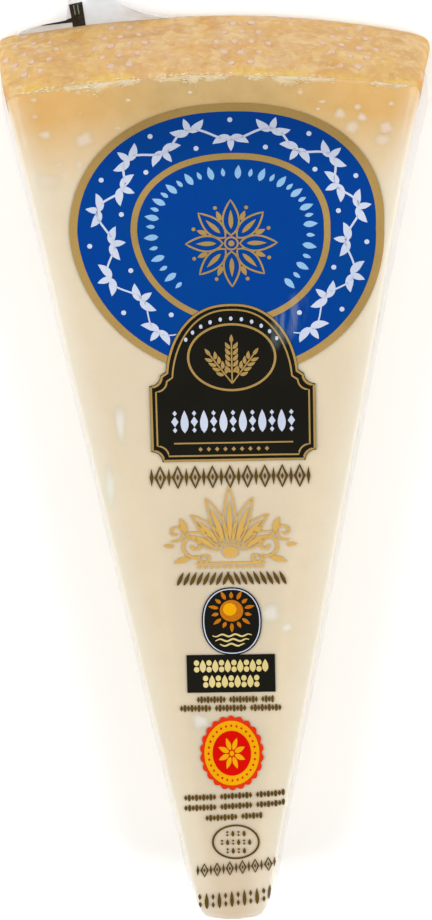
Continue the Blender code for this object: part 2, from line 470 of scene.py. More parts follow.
def crystalFlecks(tree, place):      # scattered soft spots in the paste
    bent = addNode(tree, "ShaderNodeTexNoise", {"Vector": place, "Scale": 900.0}).outputs["Color"]
    nudge = addNode(tree, "ShaderNodeVectorMath", {0: bent, "Scale": 0.0008}, operation="SCALE")
    at = addNode(tree, "ShaderNodeVectorMath", [place, nudge.outputs[0]]).outputs[0]
    scale = 1 / paste["crystalSpacing"]
    cells = addNode(tree, "ShaderNodeTexVoronoi", {"Vector": at, "Scale": scale}).outputs
    drawn = addNode(tree, "ShaderNodeSeparateColor", [cells["Color"]]).outputs
    size = calc(tree, "ADD", times(tree, drawn[1], 0.13), 0.06)
    spot = ramped(tree, cells["Distance"], size, times(tree, size, 0.35))
    kept = times(tree, calc(tree, "LESS_THAN", drawn[0], 0.30), readMask(tree, "crystalShare"))
    return times(tree, spot, kept)


def tornFringe(tree, place):      # pale and ragged along the rind, drawn out over the face
    along, out = paste["crumbGrain"]
    grain = noisy(tree, stretched(tree, place, (1 / along, 1 / out, 0.0)), 1.0, Detail=4.0, Roughness=0.7,
                  Distortion=0.8)
    reach = calc(tree, "SUBTRACT", 1.0, readMask(tree, "crumbShare"))
    return ramped(tree, calc(tree, "SUBTRACT", grain, times(tree, reach, 0.60)), 0.02, 0.34)


def pasteMaterial():
    material, tree, place = startMaterial(
        "cheesePaste", Roughness=0.42, Specular_IOR_Level=0.3, Coat_Weight=0.5, Coat_Roughness=0.10,
        Coat_IOR=1.46, Subsurface_Weight=0.12, Subsurface_Scale=0.004)
    small = mottled(tree, place, 0.0035, 4.0, 0.30, 0.72)
    shade = readMask(tree, "rindShade")
    outwards = ramped(tree, calc(tree, "ABSOLUTE", partsOf(tree, place)[0]), 0.006, 0.028)
    tan = mixed(tree, outwards, paste["tanMiddle"], paste["tanSide"])
    tan = layered(tree, tan, (small, 0.25, paste["tanPale"]))
    # Painted reflection: the paste is lightened along the rounded edges and where it is seen edge on, as the
    # film's sheen, partly its own haze
    facing = addNode(tree, "ShaderNodeLayerWeight", {"Blend": 0.5}).outputs["Facing"]
    grazingSheen = ramped(tree, facing, 0.84, 0.97)      # painted reflection: the film's pale sheen where it is seen edge on
    rim = calc(tree, "MAXIMUM", readMask(tree, "edgeSheenShare"), grazingSheen)
    rim = times(tree, rim, calc(tree, "SUBTRACT", 1.0, times(tree, shade, 0.45)))
    painted(material, layered(
        tree, paste["middle"],
        (mottled(tree, place, 0.030, 2.0, 0.36, 0.66), 0.55, paste["pale"]),
        (small, 0.13, paste["deep"]),
        (readMask(tree, "coreShare"), 0.80, paste["core"]),
        (readMask(tree, "tipShare"), 0.80, paste["tip"]),
        (shade, 1.0, tan),
        (crystalFlecks(tree, place), 0.75, paste["crystal"]),
        (tornFringe(tree, place), 1.0, paste["crumb"]),
        (readMask(tree, "spotShare"), 1.0, paste["crystal"]),
        (readMask(tree, "glintShare"), 0.75, paste["glint"]),
        # the painted pale sheen along the edges
        (rim, 0.80, paste["edge"]),
        (mottled(tree, place, 0.0009, 3.0, 0.30, 0.75), 0.05, paste["deep"])))
    return bumped(material, place, 0.009, 0.0022, 0.25, 0.0006, times(tree, small, 0.22))


cheesePaste = pasteMaterial()
addPiece("cheesePaste", withPasteMasks(pasteMesh.copy()), cheesePaste, "cheese_wedge")


# Rind

rind = {
    "lap": 0.00040,             # how far past the middle of the rounded edge the rind's skin ends
    "ragged": 0.00035,
    "thickness": 0.0004,
    "standOff": 0.00006,
    "pitHeight": 0.00012,
    "pitLength": 0.0024,
    "depth": 0.008,             # how far in from the rind the skin is cut from
    "gold": tint(195, 155, 83),
    "tan": tint(178, 131, 64),
    "pale": tint(202, 174, 120),
    "rosy": tint(186, 149, 104),
    "warm": tint(194, 148, 60),
    "brown": tint(163, 114, 53),
    "fleck": tint(208, 178, 146),
    "yellow": tint(196, 162, 60),
    "orange": tint(182, 112, 24),
    "corners": [(-0.0372, -0.0010, 0.0024), (0.0368, -0.0010, 0.0022)],      # x, past the edge, spread
    "rosyReach": (0.010, 0.030),
    "yellowReach": 0.0021,
    "burntGrain": (0.0070, 0.0070, 0.0034),
}


def keepWhere(bm, measure):      # cuts a mesh along measure = 0 and keeps the side where it is above
    value = {vert: measure(vert.co) for vert in bm.verts}
    fresh = set()
    for edge in list(bm.edges):
        first, second = edge.verts
        if (value[first] > 0) != (value[second] > 0):
            share = value[first] / (value[first] - value[second])
            made = bmesh.utils.edge_split(edge, first, share)[1]
            value[made] = 0.0
            fresh.add(made)
    for face in list(bm.faces):
        ends = [vert for vert in face.verts if vert in fresh]
        if len(ends) == 2:
            bmesh.utils.face_split(face, ends[0], ends[1])
    outside = [face for face in bm.faces if sum(value[vert] for vert in face.verts) <= 0]
    bmesh.ops.delete(bm, geom=outside, context="FACES")


def rindMeasure(point):
    ragged = rind["ragged"] * (noise.noise(point / 0.006) + 0.6 * noise.noise(point / 0.0018))
    return rind["lap"] - pastBoundary(point) + ragged


def cornerMark(point):
    spread = [math.hypot((point.x - x) * 1.6, pastBoundary(point) - past) / reach
              for x, past, reach in rind["corners"]]
    return max(0.0, 1 - min(spread)) ** 0.6


def rindMesh():
    bm = bmesh.new()
    bm.from_mesh(pasteMesh)
    far = [face for face in bm.faces if shortOfRind(face.calc_center_median()) > rind["depth"]]
    bmesh.ops.delete(bm, geom=far, context="FACES")
    mesh = subdivided(meshFrom(bm, "rind"), 1, "SIMPLE")
    bm = bmesh.new()
    bm.from_mesh(mesh)
    keepWhere(bm, rindMeasure)
    bm.normal_update()
    for vert in bm.verts:
        point = vert.co.copy()
        pits = rind["pitHeight"] * (noise.noise(point / rind["pitLength"])
                                    + 0.8 * noise.noise(point / 0.0065))
        vert.co += vert.normal * (rind["standOff"] + max(0.0, pits) * clamped(point.z / wedge["flatBase"]))
    mesh = closedSheet(meshFrom(bm, "rind"), rind["thickness"])
    writeMask(mesh, "yellowShare", [max(0.0, 1 - abs(pastBoundary(vert.co)) / rind["yellowReach"])
                                    for vert in mesh.vertices])
    writeMask(mesh, "cornerShare", [cornerMark(vert.co) for vert in mesh.vertices])
    return mesh


def rindMaterial():
    material, tree, place = startMaterial(
        "rindSkin", Roughness=0.55, Specular_IOR_Level=0.05, Coat_Weight=0.15,
        Coat_Roughness=0.15, Coat_IOR=1.46)
    sideways = calc(tree, "ABSOLUTE", partsOf(tree, place)[0])
    middle = calc(tree, "SUBTRACT", 1.0, ramped(tree, sideways, *rind["rosyReach"]))
    clouds = mottled(tree, place, 0.0034, 6.0, 0.46, 0.61)
    drawn = stretched(tree, place, tuple(1 / length for length in rind["burntGrain"]))
    burnt = ramped(tree, noisy(tree, drawn, 1.0, Detail=4.0, Roughness=0.6, Distortion=0.4), 0.56, 0.70)
    yellow = times(tree, readMask(tree, "yellowShare"), mottled(tree, place, 0.0060, 3.0, 0.42, 0.60))
    painted(material, layered(
        tree, rind["gold"],
        (middle, 0.75, rind["rosy"]),
        (mottled(tree, place, 0.0085, 5.0, 0.44, 0.58), 0.65, rind["tan"]),
        (clouds, 0.60, rind["pale"]),
        (mottled(tree, place, 0.0046, 6.0, 0.51, 0.59), 0.55, rind["warm"]),
        (burnt, 0.60, rind["brown"]),
        (yellow, 0.95, rind["yellow"]),
        (readMask(tree, "cornerShare"), 1.0, rind["orange"]),
        (mottled(tree, place, 0.0016, 5.0, 0.48, 0.62), 0.45, rind["tan"]),
        (mottled(tree, place, 0.0011, 5.0, 0.56, 0.66), 0.35, rind["fleck"]),
        (mottled(tree, place, 0.0009, 4.0, 0.38, 0.70), 0.22, rind["pale"])))
    return bumped(material, place, 0.006, 0.0016, 0.30, 0.0005, times(tree, clouds, 0.35))


addPiece("rindSkin", rindMesh(), rindMaterial())


# Where a point of the rind or the face lies on the cheese

def outwardAt(x):      # level, from the wheel's centre through the rind at x
    return Vector((x / wedge["wheelRadius"], math.sqrt(1 - (x / wedge["wheelRadius"]) ** 2), 0))


def onRind(x, z, lift=0.0):      # x across and z up, in metres; the point on the rind and its outward heading
    outward = outwardAt(x)
    start = outward * (wedge["wheelRadius"] - wedge["rayDepth"]) + Vector((0, 0, z))
    hit, normal = pasteTree.ray_cast(start, outward)[:2]
    return hit + normal * lift, normal


def onRim(x, turn):      # on the rounded edge; turn from level, outwards, to straight up
    outward, soft = outwardAt(x), wedge["faceSoft"]
    middle = outward * (wedge["wheelRadius"] - soft) + Vector((0, 0, wedge["thickness"] - soft))
    return pasteTree.ray_cast(middle, outward * math.cos(turn) + Vector((0, 0, math.sin(turn))))[:2]


def onFace(x, y, lift):      # from the wheel's middle line and centre, in mm; it bends round the edge
    bend = wedge["printBend"]
    flat = max(0.5, y * math.tan(wedge["halfAngle"]) - bend)
    side = min(max(x, -flat), flat)
    lean = min(1.2, max(-1.2, (x - side) / bend))
    start = Vector((side * mm, y * mm, wedge["thickness"] - bend * mm))
    upward = Vector((math.sin(lean), 0, math.cos(lean)))
    return pasteTree.ray_cast(start, upward)[0] + upward * lift


# Crystals in the paste near the rind, and painted film glints: pale spots in the paste's colour that stand in
# for highlights on the film

# x across, y from the wheel's centre, width, height, in mm
crystals = [(-29.6, 189.0, 2.0, 1.2), (-22.9, 188.0, 2.6, 2.4), (-14.9, 195.2, 0.8, 0.7),
            (-29.8, 180.5, 3.6, 2.4), (-23.9, 183.4, 1.1, 1.1), (22.1, 192.0, 1.8, 1.6),
            (25.2, 193.2, 1.4, 0.9), (26.0, 191.3, 1.4, 1.4), (19.1, 194.3, 1.1, 0.6),
            (24.3, 189.4, 2.0, 2.0), (30.2, 189.4, 2.0, 2.0), (29.5, 187.0, 2.4, 1.6),
            (18.3, 193.0, 0.7, 0.5), (31.1, 193.7, 0.9, 0.7), (-4.0, 196.4, 0.7, 0.5)]
# painted highlights of the film over the face
glints = [(8.3, 96.4, 3.2, 2.6), (11.2, 93.6, 1.6, 1.4), (-5.2, 74.9, 2.4, 2.8), (-18.2, 134.6, 1.5, 6.0),
          (-20.4, 122.0, 1.4, 5.0)]
blob = {
    "points": 18,
    "shares": (1.0, 0.985, 0.82, 0.66, 0.50, 0.34, 0.16),
    "ragged": 0.45,
    "small": 22,                # how many small ones are drawn
    "apart": 2.8,               # in mm, from the others
    "grow": 1.4,
    "glintStrength": 0.55,
    "sunk": -0.00004,
    "lift": 0.000012,
}


def addBlob(bm, maskLayer, x, y, wide, tall, strength, seed):      # a flat ragged spot that lies on the face
    rings = []
    for share in blob["shares"]:
        verts = []
        for step in range(blob["points"]):
            angle = fullTurn * step / blob["points"]
            ragged = noise.noise(Vector((math.cos(angle) * 1.3, math.sin(angle) * 1.3, seed)))
            size = share * (1 + blob["ragged"] * ragged) / 2
            vert = bm.verts.new(onFace(x + math.cos(angle) * wide * size, y + math.sin(angle) * tall * size,
                                       blob["lift"] if rings else blob["sunk"]))
            vert[maskLayer] = strength * min(1.0, 1.5 * (1 - share)) ** 1.2
            verts.append(vert)
        rings.append(verts)
    side = [bm.verts.new(vert.co) for vert in rings[1]]      # of its own, so that the top's edge shades flat
    addWalls(bm, [rings[0], side])
    addWalls(bm, rings[1:])
    addCaps(bm, rings[0], rings[-1])


def spotMesh(spots, mask):      # each spot: x, y, width, height in mm, strength
    bm = bmesh.new()
    maskLayer = bm.verts.layers.float.new(mask)
    for number, (x, y, wide, tall, strength) in enumerate(spots):
        addBlob(bm, maskLayer, x, y, wide * blob["grow"], tall * blob["grow"], strength, number * 3.7)
    bmesh.ops.recalc_face_normals(bm, faces=bm.faces)
    return withPasteMasks(meshFrom(bm, "spots"))


def crystalSpots():
    draw = random.Random(3)
    spots = [(*place, draw.uniform(0.85, 1.0)) for place in crystals]
    for _ in range(blob["small"]):
        side = 1 if draw.random() < 0.65 else -1
        y = 197 - 24 * draw.random() ** 1.5
        size = draw.uniform(0.35, 0.8)
        x = side * draw.uniform(0.30, 0.88) * y * math.tan(wedge["halfAngle"])
        if min(math.hypot(x - place[0], y - place[1]) for place in spots) > blob["apart"]:
            spots.append((x, y, size * 1.5, size, draw.uniform(0.3, 0.7)))
    return spots


glintSpots = [(*place, blob["glintStrength"]) for place in glints]
addPiece("pasteCrystals", spotMesh(crystalSpots(), "spotShare"), cheesePaste)
addPiece("pasteGlints", spotMesh(glintSpots, "glintShare"), cheesePaste)


# Pin marks: small shallow dents in rows of lozenges, pressed in the rind

pins = {
    "wide": 0.00148,
    "tall": 0.0019,
    "lift": 0.00010,
    "pitchX": 0.0030,
    "pitchZ": 0.0037,
    "points": 14,
    "rings": ((1.0, -0.00016), (0.90, 0.00002), (0.62, 0.00004), (0.30, 0.00003)),      # share of size, rise
    "groups": [(-0.0318, 0.0110), (-0.0163, 0.0122), (0.0050, 0.0128), (0.0238, 0.0120)],
    "pink": tint(192, 161, 134),
    # painted shade round each mark's rim
    "rim": tint(172, 127, 82),
}


def pinPlaces():
    draw = random.Random(11)
    for middle, height in pins["groups"]:
        for row in range(-2, 3):
            count = 4 - abs(row)
            for column in range(count):
                x = middle + (column - (count - 1) / 2) * pins["pitchX"]
                z = height + row * pins["pitchZ"]
                place = (x + draw.uniform(-1, 1) * 0.0002, z + draw.uniform(-1, 1) * 0.0003)
                yield *place, draw.uniform(0.8, 1.15)


def pinMesh():
    bm = bmesh.new()
    rimLayer = bm.verts.layers.float.new("pinRim")
    for x, z, size in pinPlaces():
        centre, normal = onRind(x, z, pins["lift"])
        across = Vector((0, 0, 1)).cross(normal).normalized()
        up = normal.cross(across)
        rings = []
        for share, rise in pins["rings"]:
            rings.append([])
            for step in range(pins["points"]):
                angle = fullTurn * step / pins["points"]
                aside = across * (math.cos(angle) * pins["wide"] * size * share / 2)
                above = up * (math.sin(angle) * pins["tall"] * size * share / 2)
                rings[-1].append(bm.verts.new(centre + aside + above + normal * rise))
                rings[-1][-1][rimLayer] = share
        addWalls(bm, rings)
        addCaps(bm, rings[0], rings[-1])
    bmesh.ops.recalc_face_normals(bm, faces=bm.faces)
    return meshFrom(bm, "pins")


def pinMaterial():
    material, tree, place = startMaterial(
        "pinMark", Roughness=0.45, Specular_IOR_Level=0.1, Coat_Weight=0.3, Coat_Roughness=0.12)
    # painted shade: darker and mottled towards the mark's rim
    rim = ramped(tree, readMask(tree, "pinRim"), 0.55, 0.90)
    uneven = times(tree, rim, mottled(tree, place, 0.0012, 2.0, 0.3, 0.7))
    painted(material, mixed(tree, uneven, pins["pink"], pins["rim"]))
    return bumped(material, place, 0.006, 0.0016, 0.25, 0.0005)


addPiece("rindPinMarks", pinMesh(), pinMaterial())


# Chips: pale flakes along the rind's edge with the face

chips = {
    "pale": tint(207, 190, 154),
    "yellow": tint(196, 170, 110),
    "perMm": 3.2,
    "thickness": 0.00014,
    "lift": 0.00016,
    "wide": (0.30, 1.00),       # in mm
    "tall": (0.12, 0.34),
    "firstTurn": math.radians(45),
}


def addChip(bm, draw, x):
    reach = crumbReach(x) * draw.uniform(0.2, 1.0)
    centre, normal = onRim(x, chips["firstTurn"] + draw.gauss(0.45, 0.40) * reach / wedge["faceSoft"])
    across = Vector((centre.x, centre.y, 0)).normalized().cross(normal).normalized()
    down = normal.cross(across)
    wide, tall = draw.uniform(*chips["wide"]) * mm, draw.uniform(*chips["tall"]) * mm
    slant = draw.uniform(-1.2, 1.2)
    corners = []
    count = draw.randint(5, 8)
    for step in range(count):
        angle = fullTurn * (step + draw.uniform(-0.3, 0.3)) / count
        spread = draw.uniform(0.55, 1.1)
        along = math.sin(angle) * tall * spread / 2
        corners.append(centre + across * (math.cos(angle) * wide * spread / 2 + slant * along) + down * along)
    top = [bm.verts.new(pasteTree.find_nearest(corner)[0] + normal * chips["lift"]) for corner in corners]
    foot = [bm.verts.new(vert.co - normal * chips["thickness"]) for vert in top]
    addWalls(bm, [foot, top])
    addCaps(bm, foot, top)


def chipMesh():
    draw = random.Random(5)
    bm = bmesh.new()
    for left, right, far in crumbRuns:
        for _ in range(round(chips["perMm"] * (right - left))):
            addChip(bm, draw, draw.uniform(left, right) * mm)
    bmesh.ops.recalc_face_normals(bm, faces=bm.faces)
    mesh = meshFrom(bm, "chips")
    mesh.shade_flat()
    return mesh


def chipMaterial():
    material, tree, place = startMaterial("chipFlake", Roughness=0.6, Coat_Weight=0.4, Coat_Roughness=0.15)
    return painted(material, layered(
        tree, chips["pale"],
        (mottled(tree, place, 0.012, 1.0, 0.50, 0.62), 1.0, chips["yellow"]),
        (mottled(tree, place, 0.0015, 3.0, 0.35, 0.65), 0.5, rind["pale"])))


addPiece("rindChips", chipMesh(), chipMaterial())


# Clear film, drawn tight over the cheese

film = {
    "standOff": 0.00014,
    "creaseFrom": 0.89,         # it creases along the edges, beyond this share of the half width
    "creaseHeight": 0.00013,
    "creaseGrain": (0.0022, 0.0060, 0.0022),
    "seamThickness": 0.00014,
    "gap": 0.0003,
}


def filmPlace(point, normal):
    loose = max(0.0, abs(acrossShare(point)) - film["creaseFrom"]) / (1 - film["creaseFrom"])
    grain = Vector(value / length for value, length in zip(point, film["creaseGrain"]))
    crease = max(0.0, noise.noise(grain)) * loose * min(1.0, point.z / wedge["flatBase"])
    return point + normal * (film["standOff"] + film["creaseHeight"] * crease)


def filmMaterial(name, alpha, colour, haze, roughness):
    material, tree, place = startMaterial(
        name, Roughness=roughness, Alpha=alpha, Coat_Weight=1.0, Coat_Roughness=0.04, IOR=1.5)
    painted(material, mixed(tree, mottled(tree, place, 0.006, 2.0, 0.3, 0.7), colour, haze))
    return bumped(material, place, 0.0045, 0.0012, 0.5, 0.0008)


clearFilm = filmMaterial("clearFilm", 0.05, tint(240, 238, 234), tint(250, 249, 247), 0.06)
weldedFilm = filmMaterial("weldedFilm", 0.12, tint(214, 208, 214), tint(230, 226, 230), 0.15)
looseFilm = filmMaterial("looseFilm", 0.68, tint(216, 219, 224), tint(228, 231, 236), 0.12)
addPiece("filmSkin", moved(pasteMesh.copy(), filmPlace), clearFilm)


# The film's welded edge, up both sides and round the tip

seam = {
    "height": 0.0172,
    "leastWidth": 0.0004,
    "leftWidth": 0.0006,
    "rightWidth": 0.0014,
    "tipWidth": 0.0014,
    "crimpHeight": 0.00010,
    "crimpLength": 0.0016,
    "wave": 0.00025,
    "waves": 9.7,
    "step": 0.0008,
    "tipSteps": 44,
    "cornerSteps": 24,
    "cornerTurn": math.radians(60),
    "rows": 3,
}


def heading(angle):
    return Vector((math.cos(angle), math.sin(angle), 0))


def seamSide(side, rindWidth):      # rays from the tip to the rind and round its corner, and their widths
    outward = -wedge["halfAngle"] if side > 0 else math.pi + wedge["halfAngle"]
    first = wedge["tipRadius"] + wedge["tipSoft"]
    last = wedge["wheelRadius"] - wedge["rindSoft"]
    count = round((last - first) / seam["step"])
    rays = []
    for i in range(count + 1):
        share = i / count
        wide = seam["leastWidth"] + (rindWidth - seam["leastWidth"]) * share ** 5
        start = Vector((0, (first + (last - first) * share) / math.cos(wedge["halfAngle"]), seam["height"]))
        rays.append((start, heading(outward), wide))
    corner = last * heading(math.pi / 2 - side * wedge["halfAngle"]) - wedge["sideSoft"] * heading(outward)
    corner.z = seam["height"]
    for i in range(1, seam["cornerSteps"] + 1):
        share = i / seam["cornerSteps"]
        outwards = heading(outward + side * seam["cornerTurn"] * share)
        rays.append((corner, outwards, rindWidth * (1 - share) ** 1.5))
    return rays


def seamTip():
    start = Vector((0, wedge["tipRadius"] + wedge["tipSoft"], seam["height"]))
    rays = []
    for i in range(1, seam["tipSteps"]):
        share = i / seam["tipSteps"]
        angle = math.pi + wedge["halfAngle"] + (math.pi - 2 * wedge["halfAngle"]) * share
        wide = seam["leastWidth"] + (seam["tipWidth"] - seam["leastWidth"]) * math.sin(math.pi * share)
        rays.append((start, heading(angle), wide))
    return rays


def seamMesh():
    rays = seamSide(-1, seam["leftWidth"])[::-1] + seamTip() + seamSide(1, seam["rightWidth"])
    last = len(rays) - 1
    crimps = last * seam["step"] / seam["crimpLength"]

    def place(along, out):
        start, outward, wide = rays[round(along * last)]
        hit = pasteTree.ray_cast(start, outward)[0]
        wave = seam["wave"] * wide / seam["rightWidth"] * math.sin(fullTurn * seam["waves"] * along)
        wave += seam["crimpHeight"] * math.sin(fullTurn * crimps * along)
        return hit + outward * ((min(film["gap"], wide) + wide) * out) + Vector((0, 0, wave * out))

    return closedSheet(gridMesh(last, seam["rows"], place, "seam"), film["seamThickness"])


addPiece("filmSeam", seamMesh(), weldedFilm, "film_seam")


# The film's loose end behind the rind, with the printed mark on it

tail = {
    "left": -0.0345,
    "right": -0.0070,
    "height": 0.0020,
    "places": [0, 0.02, 0.06, 0.14, 0.32, 0.35, 0.56, 0.67, 0.80, 0.92, 1],
    "lengths": [0, 0.0007, 0.0011, 0.0015, 0.0017, 0.0058, 0.0058, 0.0036, 0.0017, 0.0006, 0],
    "rise": 0.0012,
    "wave": 0.3,
    "waves": 1.4,
    "creases": 0.00022,
    "thickness": 0.00018,
    "columns": 110,
    "rows": 18,
}


def tailReach(along):
    return float(np.interp(along, tail["places"], tail["lengths"]))


def tailPlace(along, out, lift=0.0):
    x = tail["left"] + (tail["right"] - tail["left"]) * along
    reach = tailReach(along) * out
    curl = tail["rise"] * out ** 2 * tailReach(along) / max(tail["lengths"])
    curl += tail["wave"] * reach * out * math.sin(fullTurn * tail["waves"] * along)
    curl += tail["creases"] * out * noise.noise(Vector((along * 19, out * 3, 0.7)))
    return onRind(x, tail["height"])[0] + outwardAt(x) * reach + Vector((0, 0, curl + lift))


tailMesh = gridMesh(tail["columns"], tail["rows"], tailPlace, "tail")
addPiece("filmTail", closedSheet(tailMesh, tail["thickness"]), looseFilm, "film_tail")


# Plain shapes for the print, in mm; each shape is a list of loops, the first its outside

def off(x, y, turn, far):      # a step away from a place; turn from straight up, clockwise
    return x + math.sin(turn) * far, y + math.cos(turn) * far


def oval(x, y, wide, tall, points=40, squareness=2.0):
    made = []
    for i in range(points):
        angle = fullTurn * i / points
        across, up = math.cos(angle), math.sin(angle)
        made.append((x + math.copysign(abs(across) ** (2 / squareness), across) * wide / 2,
                     y + math.copysign(abs(up) ** (2 / squareness), up) * tall / 2))
    return made


def lozenge(x, y, wide, tall):
    return oval(x, y, wide, tall, 4)


def bar(x, y, wide, tall):
    return [(x + side * wide / 2, y + up * tall / 2) for side, up in ((-1, -1), (1, -1), (1, 1), (-1, 1))]


def leaf(x, y, turn, length, wide, bend=0.0, points=9):      # turn from straight up, clockwise
    left, right = [], []
    for i in range(points):
        share = i / (points - 1)
        inside = 0 < i < points - 1
        half = wide / 2 * math.sin(math.pi * share ** 0.8) ** 0.9 if inside else 0.0
        angle = turn - bend / 2 + bend * share
        left.append(off(x, y, angle - math.pi / 2, half))
        if inside:
            right.append(off(x, y, angle + math.pi / 2, half))
        x, y = off(x, y, angle, length / (points - 1))
    return left + right[::-1]


def stroke(points, wide, closed=False, taper=0.0):      # a line of a width, with tapered ends if wanted
    left, right = [], []
    count = len(points)
    for i, (x, y) in enumerate(points):
        before = points[i - 1] if closed or i else points[0]
        after = points[(i + 1) % count] if closed or i < count - 1 else points[-1]
        dx, dy = after[0] - before[0], after[1] - before[1]
        half = wide / 2 * (1 - taper * abs(2 * i / (count - 1) - 1) ** 3) / math.hypot(dx, dy)
        left.append((x - dy * half, y + dx * half))
        right.append((x + dy * half, y - dx * half))
    return [left, right] if closed else [left + right[::-1]]


def outlined(loop, wide):      # a loop drawn as a line
    return stroke(loop, wide, closed=True)


def spiral(x, y, start, turns, radius, inner=0.12, points=34):      # from its outer end inwards
    shares = [i / (points - 1) for i in range(points)]
    return [off(x, y, start + fullTurn * turns * share, radius * (1 - (1 - inner) * share))
            for share in shares]


def mirrored(shapes, axis):
    return [[[(2 * axis - x, y) for x, y in loop] for loop in shape] for shape in shapes]


# The print: fields of ink that follow the film over the face

ink = {
    "step": 1.0,                # how finely the ink follows the face, in mm
    "base": 0.00024,
    "layer": 0.000035,
    "thickness": 0.00003,
    "darkShare": 0.23,          # the print is a little darker near the rind
    "darkFrom": 0.178,
    "darkTo": 0.191,
    "shine": (0.0125, 0.1536),  # where the film catches the light over the print, from the wheel's centre
    "shineWide": 0.0034,
    "shineTall": 0.0062,
    "shineTurn": -0.42,         # it leans to the right as it rises
    "shineShare": 0.17,
    "shineTint": tint(184, 198, 196),
}


def inkMesh(shapes, layer, step):
    bm = bmesh.new()
    for shape in shapes:
        loops = [[Vector((x, y, 0)) for x, y in loop] for loop in shape]
        corners = [bm.verts.new(point) for loop in loops for point in loop]
        for triple in tessellate_polygon(loops):
            face = bm.faces.new([corners[i] for i in triple])
            face.normal_update()
            if face.normal.z < 0:
                face.normal_flip()
    for axis in (0, 1):
        values = [vert.co[axis] for vert in bm.verts]
        for cut in range(math.ceil(min(values) / step), math.floor(max(values) / step) + 1):
            sliced(bm, axis, cut * step, 1e-4)
    for vert in bm.verts:
        vert.co = onFace(vert.co.x, vert.co.y, ink["base"] + layer * ink["layer"])
    bmesh.ops.dissolve_degenerate(bm, edges=bm.edges[:], dist=1e-6)
    return closedSheet(meshFrom(bm, "ink"), ink["thickness"])


def shineGroup():      # fine streaks along the film's pull, in one soft oval
    tree, given, result = newGroup("filmShine", {}, "Mask")
    x, y = ink["shine"]
    parts = partsOf(tree, given["Position"])
    along = calc(tree, "SUBTRACT", parts[1], wheelCentre.y + y)
    across = calc(tree, "ADD", calc(tree, "SUBTRACT", parts[0], x), times(tree, along, ink["shineTurn"]))
    across = calc(tree, "DIVIDE", across, ink["shineWide"])
    along = calc(tree, "DIVIDE", along, ink["shineTall"])
    away = calc(tree, "ADD", times(tree, across, across), times(tree, along, along))
    drawn = mottled(tree, stretched(tree, given["Position"], (1.0, 0.14, 0.0)), 0.0012, 3.0, 0.38, 0.66)
    tree.links.new(times(tree, ramped(tree, away, 1.0, 0.0), drawn), result)
    return tree


filmShine = shineGroup()


def inkMaterial(name, colour, deep, metallic=0.0):
    material, tree, place = startMaterial(
        name, Metallic=metallic, Roughness=0.35, Specular_IOR_Level=0.04, Coat_Weight=0.1,
        Coat_Roughness=0.08, Coat_IOR=1.46)
    cloud = times(tree, mottled(tree, place, 0.014, 2.0, 0.35, 0.68), 0.55)
    grain = times(tree, mottled(tree, place, 0.0005, 2.0, 0.30, 0.75), 0.30)
    uneven = calc(tree, "ADD", cloud, grain, clamp=True)
    y = partsOf(tree, place)[1]
    under = ramped(tree, y, wheelCentre.y + ink["darkFrom"], wheelCentre.y + ink["darkTo"])
    painted(material, layered(
        tree, colour,
        (uneven, 1.0, deep),
        (under, ink["darkShare"], tint(0, 0, 0)),
        (useGroup(tree, filmShine, place), ink["shineShare"], ink["shineTint"])))
    return bumped(material, place, 0.009, 0.0022, 0.22, 0.0006)


inkTints = {      # each ink's colour, and its deeper patches
    "blueInk": ((0, 54, 131), (0, 58, 124)),
    "goldInk": ((166, 136, 80), (150, 121, 68)),
    "silverInk": ((186, 192, 208), (172, 180, 200)),
    "paleBlueInk": ((136, 174, 204), (116, 158, 196)),
    "blackInk": ((23, 22, 16), (18, 17, 13)),
    "brownInk": ((78, 58, 17), (94, 71, 26)),
    "paleGoldInk": ((193, 156, 84), (184, 146, 76)),
    "redInk": ((196, 8, 1), (186, 5, 1)),
    "scarletInk": ((204, 50, 12), (198, 36, 8)),
    "yellowInk": ((213, 156, 5), (211, 142, 4)),
    "amberInk": ((186, 118, 16), (160, 86, 14)),
    "creamInk": ((204, 188, 132), (193, 173, 110)),
}
inks = {name: inkMaterial(name, tint(*colour), tint(*deep), metallic=0.15 if name == "goldInk" else 0.0)
        for name, (colour, deep) in inkTints.items()}


def addInk(name, inkName, shapes, layer=0, step=ink["step"]):
    addPiece(name, inkMesh(shapes, layer, step), inks[inkName])


# The round field: blue with gold rings, a garland, a ring of lozenges and a rosette

plate = {
    "x": 1.79,
    "y": 170.9,
    "half": 26.45,
    "rise": 22.0,               # the upper half is flatter
    "squareness": 2.22,
    "leanBelow": 0.043,
    "leanAbove": 0.046,
    "rimWidth": 1.45,
    "ringHalf": 17.7,
    "ringRise": 14.3,
    "ringShift": 0.7,
    "ringWidth": 1.15,
    "garlandTurn": math.radians(152),
    "garlandUnits": 19,
    "stemWave": 0.17,
    "leaves": ((-1.15, 3.5, 1.45), (0.0, 2.7, 1.20), (1.15, 3.5, 1.45)),      # turn, length and width
    "beadTurn": math.radians(140),
    "beadUnits": 34,
    "beadInset": 3.5,
    "points": 120,
}


def plateEdge(angle, half, rise):      # clockwise from the top, in mm
    across, up = math.sin(angle), math.cos(angle)
    if up > 0:
        power = 2 / plate["squareness"]
        x = math.copysign(abs(across) ** power, across) * half
        y = up ** power * rise
        x += plate["leanAbove"] * y * (rise / plate["rise"])
    else:
        x, y = across * half, up * half
        x -= plate["leanBelow"] * y
    return plate["x"] + x, plate["y"] + y


def ringEdge(angle, inset):
    x, y = plateEdge(angle, plate["ringHalf"] - inset, plate["ringRise"] - inset)
    return x + plate["ringShift"], y


def roundLoop(edge, *sizes):
    return [edge(fullTurn * i / plate["points"], *sizes) for i in range(plate["points"])]


def onBand(angle, share):      # between the inner ring, 0, and the plate's edge, 1
    inner = ringEdge(angle, 0.0)
    outer = plateEdge(angle, plate["half"], plate["rise"])
    return tuple(low + (high - low) * share for low, high in zip(inner, outer))


